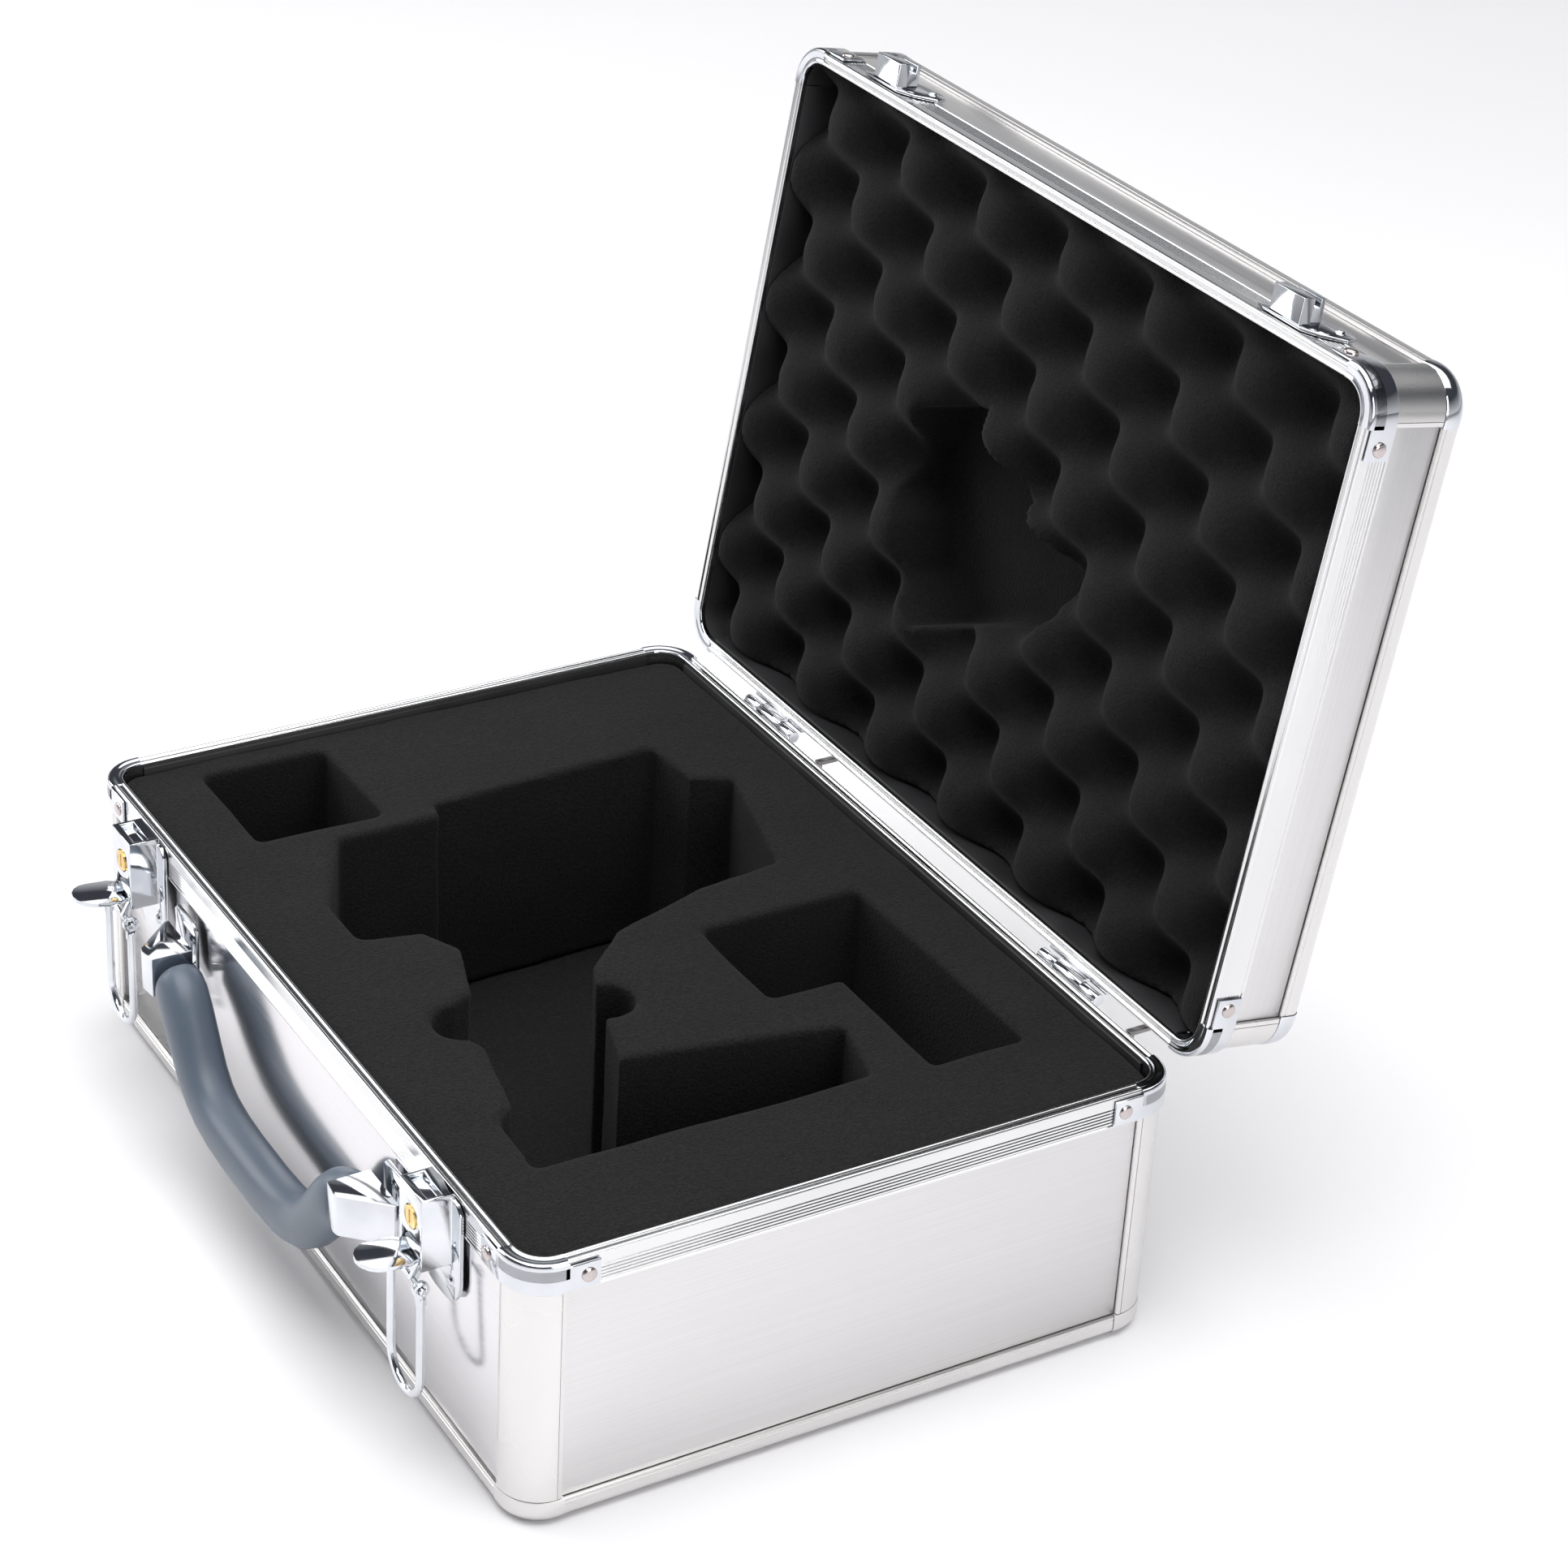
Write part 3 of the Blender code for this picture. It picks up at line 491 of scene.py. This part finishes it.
def shell_corner(prefix, corner, index, height, place):
    """One corner's post, ball corner, riveted clip and two rivets."""
    own = place @ corner_frame(index)
    post = prism(post_profile(), 8.95 * MM, height - 2.5 * MM)
    ball = sweep(ball_profile(), round_corner(BALL_LENGTH))
    band = softened(sweep(clip_side_profile(height, height - 1.6 * MM), round_corner(TAB_END)), 0.12 * MM)
    top = sweep(clip_top_profile(height), round_corner(CLIP_LENGTH))
    put(f"{prefix}_{corner}_post", post, SATIN, prefix, own, [f"{prefix}_post_{corner}"],
        28)
    put(f"{prefix}_{corner}_ball_corner", ball, CHROME if prefix == "lid" else SATIN, prefix, own, (),
        30)
    put(f"{prefix}_{corner}_clip_band", band, CHROME, prefix, own, [f"{prefix}_rim_clip_{corner}"],
        30)
    put(f"{prefix}_{corner}_clip_top", top, CHROME, prefix, own, (), 30)
    other_side = own @ Matrix.Rotation(math.radians(-90), 4, "Z")
    for name, face, x in (("a", own, RIVET_PLACE), ("b", other_side, -RIVET_PLACE)):
        put(f"{prefix}_{corner}_rivet_{name}", dome(RIVET_RADIUS, RIVET_RISE), RIVET, prefix,
            face @ on_face(x, -CLIP_PROUD, height - RIVET_DROP), ())


def shell_half(prefix, height, sides, corners, place):
    """The base or the lid, each in its own frame with its outer panel at z = 0."""
    end_sheet(prefix, place)
    for index, side in enumerate(sides):
        shell_side(prefix, side, index, height, place)
    for index, corner in enumerate(corners):
        shell_corner(prefix, corner, index, height, place)


# --- foam --------------------------------------------------------------------------------------------
def instrument_pocket():
    upper = arc((42, -24), 10.5, 168, -28, 9)
    lower = arc((33, -72), 10.5, 172, 345, 9)
    return mm([(-92, -60), (-92, -20), (-100, -19), (-104, 73), (-78, 75), (-71, 89), (-12, 74), (-8, 39),
               (5, 0), (22, -18)] + upper + [(75, -36), (90, 40), (119, 33), (118, -89), (90, -87), (84, -80),
               (50, -72)] + lower[::-1] + [(19, -62), (-8, -53), (-23, -60), (-28, -81), (-51, -82)])


def accessory_pocket():
    return mm([(17, 26), (17, 89), (123, 90), (123, 54), (65, 54), (65, 26)])


def small_pocket():
    return mm([(-154, -86), (-154, -38), (-102, -38), (-102, -86)])


def lid_pocket():
    """The cut-out in the egg-crate foam, in the shut case's plan."""
    return mm([(-59, -20), (-42, -27), (-24, -33), (-15, -24), (0, -15), (12, -7), (24, -1), (35, 7),
               (38, 19), (29, 31), (12, 35), (-4, 40), (-20, 48), (-36, 55), (-53, 42), (-59, 24),
               (-68, 15), (-66, -2)])


def remeshed(mesh, size, smooth):
    """An even, slightly rounded skin, as knife-cut foam has."""
    holder = in_scene("skin", mesh)
    step = holder.modifiers.new("skin", "REMESH")
    step.mode = "VOXEL"
    step.voxel_size = size
    calm = holder.modifiers.new("calm", "SMOOTH")
    calm.iterations = smooth
    calm.factor = 0.5
    return baked(holder)


def uneven(mesh, amount, scale):
    """Moves the skin in and out a little, by smooth noise."""
    outward = [vertex.normal.copy() for vertex in mesh.vertices]
    for vertex, normal in zip(mesh.vertices, outward):
        vertex.co = vertex.co + normal * amount * noise.noise(vertex.co * scale)
    return mesh


def base_foam():
    outline = case_outline(WIDTH / 2 - PANEL_SEAT, DEPTH / 2 - PANEL_SEAT, PANEL_RADIUS, 6)
    block = prism(outline, PAD_TOP + 0.2 * MM, FOAM_TOP)
    for pocket in (instrument_pocket(), accessory_pocket(), small_pocket()):
        block = boolean(block, prism(pocket, 0.0, 0.2))
    block = uneven(remeshed(block, 1.5 * MM, 1), 0.5 * MM, 45.0)
    pad = uneven(remeshed(prism(outline, 4.3 * MM, PAD_TOP), 3.0 * MM, 2), 0.4 * MM, 60.0)
    for name, mesh, node in (("base_cut_foam", block, "base_foam_block"),
                             ("base_pad_foam", pad, "base_foam_pad")):
        piece = put(name, mesh, BLACK_FOAM, "base", WORLD, [node], 180)


def crate_height(x, y):
    """How far the egg-crate surface lies behind the rim, at a place in the shut case's plan."""
    wave = (math.cos(2 * math.pi * (x + CRATE_PHASE[0]) / CRATE_PITCH)
            * math.cos(2 * math.pi * (y + CRATE_PHASE[1]) / CRATE_PITCH))
    return CRATE_LOW + CRATE_RISE * (0.5 + 0.5 * wave) ** CRATE_SHARPNESS


def crate_sheet(columns=150, rows=104):
    """A closed slab whose upper face is the egg-crate surface."""
    half_x, half_y = WIDTH / 2 - 5.4 * MM, DEPTH / 2 - 5.4 * MM
    cage = bmesh.new()
    top, bottom = [], []
    for j in range(rows + 1):
        for i in range(columns + 1):
            x = -half_x + 2 * half_x * i / columns
            y = -half_y + 2 * half_y * j / rows
            top.append(cage.verts.new((x, y, LID_HEIGHT - crate_height(x, -y))))
            bottom.append(cage.verts.new((x, y, 4.4 * MM)))
    stride = columns + 1
    for j in range(rows):
        for i in range(columns):
            a = j * stride + i
            cage.faces.new((top[a], top[a + 1], top[a + 1 + stride], top[a + stride]))
            cage.faces.new((bottom[a + stride], bottom[a + 1 + stride], bottom[a + 1], bottom[a]))
    for i in range(columns):
        last = rows * stride + i
        cage.faces.new((bottom[i], bottom[i + 1], top[i + 1], top[i]))
        cage.faces.new((top[last], top[last + 1], bottom[last + 1], bottom[last]))
    for j in range(rows):
        a, b = j * stride, (j + 1) * stride
        cage.faces.new((top[a], top[b], bottom[b], bottom[a]))
        cage.faces.new((bottom[a + columns], bottom[b + columns], top[b + columns], top[a + columns]))
    return from_bmesh(cage)


def lid_foam():
    """Drawn in the lid's own frame, where z runs from the outer panel to the rim."""
    hollow = [(x, -y) for x, y in lid_pocket()]
    crate = boolean(crate_sheet(), prism(hollow, 6.5 * MM, 60.0 * MM))
    crate = uneven(remeshed(crate, 1.7 * MM, 3), 0.5 * MM, 50.0)
    crate = put("lid_crate_foam", crate, CRATE_FOAM, "lid", LID_OWN, ["lid_foam"], 180)


# --- handle ------------------------------------------------------------------------------------------
def grip_mesh(sides=40):
    """A bow that hangs down from its pivot line, from rows of (x, y, z, half depth, half height)."""
    half = [(0, -4.8, -39.0, 8.4, 8.7), (12, -4.8, -38.9, 8.4, 8.7), (24, -4.7, -38.2, 8.4, 8.7),
            (34, -4.5, -36.6, 8.4, 8.8), (41, -4.3, -33.8, 8.4, 9.0), (47, -4.1, -29.4, 8.5, 9.0),
            (52.5, -3.8, -23.5, 8.6, 8.9), (57.5, -3.6, -17.2, 8.7, 9.0), (62, -3.4, -11.8, 8.8, 9.4),
            (66, -3.2, -8.0, 8.8, 9.6), (69.5, -3.0, -6.0, 8.5, 9.2), (71.3, -3.0, -5.5, 7.9, 8.4),
            (72.0, -3.0, -5.3, 6.6, 7.0)]
    stations = [(-x, y, z, a, b) for x, y, z, a, b in half[:0:-1]] + half
    places = [Vector((x, y, z)) * MM for x, y, z, a, b in stations]
    rings = []
    for i, (x, y, z, a, b) in enumerate(stations):
        ahead = places[min(i + 1, len(places) - 1)] - places[max(i - 1, 0)]
        ahead.normalize()
        out = Vector((0, -1, 0))
        side = out.cross(ahead).normalized()
        out = ahead.cross(side).normalized()
        ring = []
        for k in range(sides):
            t = 2 * math.pi * k / sides
            c = math.copysign(abs(math.cos(t)) ** GRIP_ROUNDNESS, math.cos(t))
            d = math.copysign(abs(math.sin(t)) ** GRIP_ROUNDNESS, math.sin(t))
            ring.append(places[i] + (out * c * a + side * d * b) * MM)
        rings.append(ring)
    return loft(rings)


def grip_seam():
    """The raised parting line that runs along the underside of the grip."""
    half = [(12, -12.9, -45.6), (28, -12.7, -44.6), (41, -12.5, -40.6), (50, -12.2, -33.0),
            (58, -12.0, -22.5), (66, -12.4, -12.5)]
    path = [(-x, y, z) for x, y, z in half[::-1]] + half
    lifted = [(x * MM, (y + 2.3) * MM, (z - 0.35) * MM) for x, y, z in path]
    return tube(lifted, [0.55 * MM] * len(lifted), 10)


def wedge_arm():
    """A folded chrome cover on the +X side: a slanted front plate, a top plate and an inner skirt."""
    front = mm([(72.7, -11.4), (79.3, -12.3), (81.5, -11.8), (94.2, 2.0), (94.2, 3.5), (93.0, 3.0),
                (80.9, -10.2), (79.0, -10.9), (72.7, -10.0)])
    top = mm([(72.7, 3.5), (72.7, -11.2), (79.3, -12.1), (81.3, -11.7), (94.0, 2.1), (94.0, 3.5)])
    skirt = mm([(72.7, 3.5), (72.7, -10.6), (74.2, -10.6), (74.2, 3.5)])
    shell = boolean(prism(front, -10.5 * MM, 4.5 * MM), prism(top, 3.5 * MM, 4.6 * MM), "UNION")
    shell = boolean(shell, prism(skirt, -9.8 * MM, 4.1 * MM), "UNION")
    return softened(shell, 0.45 * MM, 2)


def mount_plate():
    """The bracket's plate, with its corners cut off."""
    outline = [(76.5, -10.0), (78.5, -12.0), (93.0, -12.0), (95.0, -10.0), (95.0, 9.0), (93.0, 11.0),
               (78.5, 11.0), (76.5, 9.0)]
    lie = Matrix.Translation((0, 7.7 * MM, 0)) @ Matrix.Rotation(math.radians(90), 4, "X")
    return softened(prism(mm(outline), 0.0, 1.4 * MM, lie), 0.35 * MM)


def mount_cheek(x):
    """A hooked lug that rises under the pin and leaves the cover room to turn."""
    eye = [(2.9 * math.cos(math.radians(a)), 2.9 * math.sin(math.radians(a))) for a in range(-45, 196, 15)]
    profile = mm([(7.2, -9.4), (7.2, -5.0), (3.2, -5.0), (2.6, -4.0)] + eye + [(-2.2, -4.6), (0.4, -7.2)])
    return softened(prism(profile, x * MM, (x + 1.8) * MM, ACROSS), 0.3 * MM)


def handle():
    place = Matrix.Translation(HANDLE_AXIS)
    # The grip's darkened colour carries painted shade.
    put("handle_moulded_grip", softened(grip_mesh(), 1.0 * MM, 3, 40), GRIP_WITH_PAINTED_SHADE, "handle", place,
        ["handle_grip"], 60)
    put("handle_grip_seam", grip_seam(), SEAM, "handle", place, (), 60)
    for side, sign in (("left", -1), ("right", 1)):
        put(f"handle_{side}_wedge_arm", placed(wedge_arm(), sign), CHROME, "handle", place,
            [f"handle_arm_{side}"])
        put(f"handle_{side}_mount_plate", placed(mount_plate(), sign), CHROME, "base", place,
            [f"handle_bracket_{side}"])
        for k, x in enumerate((77.5, 85.5)):
            put(f"handle_{side}_cheek_{k}", placed(mount_cheek(x), sign), CHROME, "base", place, ())
        pin = tube([(76.9 * MM, 0, 0), (87.9 * MM, 0, 0)], [1.6 * MM] * 2, 20)
        put(f"handle_{side}_pin", softened(placed(pin, sign), 0.3 * MM), CHROME, "base", place, ())


# --- latches, hinges -----------------------------------------------------------------------------------
def hardware():
    """Latches, hinges, keys and stop bars. A row with no body moves on the body named after its node."""
    pieces = [("latch_plate", "base", CHROME, 0.3), ("latch_lever", None, CHROME, 0.2),
              ("latch_bail", None, CHROME, 0.2), ("latch_catch", "lid", CHROME, 0.3),
              ("key_cylinder", None, BRASS, 0.15), ("hinge_base_leaf", "base", CHROME, 0.2),
              ("hinge_lid_leaf", "lid", CHROME, 0.2), ("stop_bar", "base", STEEL, 0.2)]
    for stem, body, finish, width in pieces:
        for side in ("left", "right"):
            node = f"{stem}_{side}"
            put(f"{stem}_{side}_look", carried(node, width * MM), finish, body or node, WORLD, [node])


# --- studio ------------------------------------------------------------------------------------------------
def area_light(name, place, target, size, power):
    lamp = bpy.data.lights.new(name, "AREA")
    lamp.shape = "RECTANGLE"
    lamp.size, lamp.size_y = size
    lamp.energy = power
    made = in_scene(name, lamp)
    made.location = place
    made.rotation_mode = "QUATERNION"
    made.rotation_quaternion = (Vector(target) - Vector(place)).to_track_quat("-Z", "Y")


def floor():
    cage = bmesh.new()
    bmesh.ops.create_grid(cage, x_segments=1, y_segments=1, size=6.0)
    floor_mesh = bpy.data.meshes.new("floor")
    cage.to_mesh(floor_mesh)
    cage.free()
    pale, tree, shader = shader_nodes("pale_floor")
    tone = noise_node(tree, 1.5, 2.0)
    tree.links.new(mixed(tree, span(tree, tone, 0, 1), (0.86, 0.85, 0.865), (0.90, 0.89, 0.90)),
                   shader.inputs["Base Color"])
    shader.inputs["Roughness"].default_value = 0.6
    floor_mesh.materials.append(pale)
    made = in_scene("floor", floor_mesh)
    made.location = (0, 0, -0.5 * MM)


def sky():
    """Pale near the horizon and dark overhead, so that polished metal has something to reflect."""
    world = bpy.data.worlds.new("studio")
    world.use_nodes = True
    tree = world.node_tree
    place = tree.nodes.new("ShaderNodeTexCoord")
    split = tree.nodes.new("ShaderNodeSeparateXYZ")
    tree.links.new(place.outputs["Generated"], split.inputs["Vector"])
    upward = span(tree, split.outputs["Z"], 0, 1, 0.04, 0.44)
    tree.links.new(mixed(tree, upward, (0.80, 0.81, 0.83), (0.075, 0.08, 0.095)),
                   tree.nodes["Background"].inputs["Color"])
    tree.nodes["Background"].inputs["Strength"].default_value = 0.75
    bpy.context.scene.world = world


def studio():
    floor()
    sky()
    area_light("softbox_top", (0.2, -0.1, 1.9), (0, 0, 0.1), (1.7, 1.5), 23.0)
    area_light("ceiling", (-0.6, 0.8, 3.4), (-0.6, 0.8, 0.0), (5.0, 5.0), 120.0)
    area_light("softbox_left", (-1.6, -1.1, 1.1), (0, 0, 0.1), (1.2, 1.2), 17.0)
    area_light("softbox_right", (1.9, 0.2, 1.0), (0, 0, 0.15), (1.0, 1.4), 14.0)
    bpy.context.scene.view_settings.view_transform = "Standard"


def camera():
    """Aims by azimuth, elevation and roll."""
    az, el, roll = CAMERA_AZIMUTH, CAMERA_ELEVATION, CAMERA_ROLL
    toward = Vector((math.sin(az) * math.cos(el), -math.cos(az) * math.cos(el), math.sin(el)))
    right = (-toward).cross(Vector((0, 0, 1))).normalized()
    up = right.cross(-toward)
    across = right * math.cos(roll) + up * math.sin(roll)
    upright = up * math.cos(roll) - right * math.sin(roll)
    lens = bpy.data.cameras.new("camera")
    lens.sensor_width = 36.0
    lens.lens = CAMERA_LENS
    lens.clip_start, lens.clip_end = 0.05, 50.0
    made = in_scene("camera", lens)
    turn = Matrix((across, upright, toward)).transposed().to_4x4()
    made.matrix_world = Matrix.Translation(CAMERA_PLACE) @ turn
    bpy.context.scene.camera = made


shell_half("base", BASE_HEIGHT, ("front", "right", "back", "left"),
           ("front_left", "front_right", "back_right", "back_left"), WORLD)
shell_half("lid", LID_HEIGHT, ("back", "right", "front", "left"),
           ("back_left", "back_right", "front_right", "front_left"), LID_OWN)
base_foam()
lid_foam()
handle()
hardware()
studio()
camera()
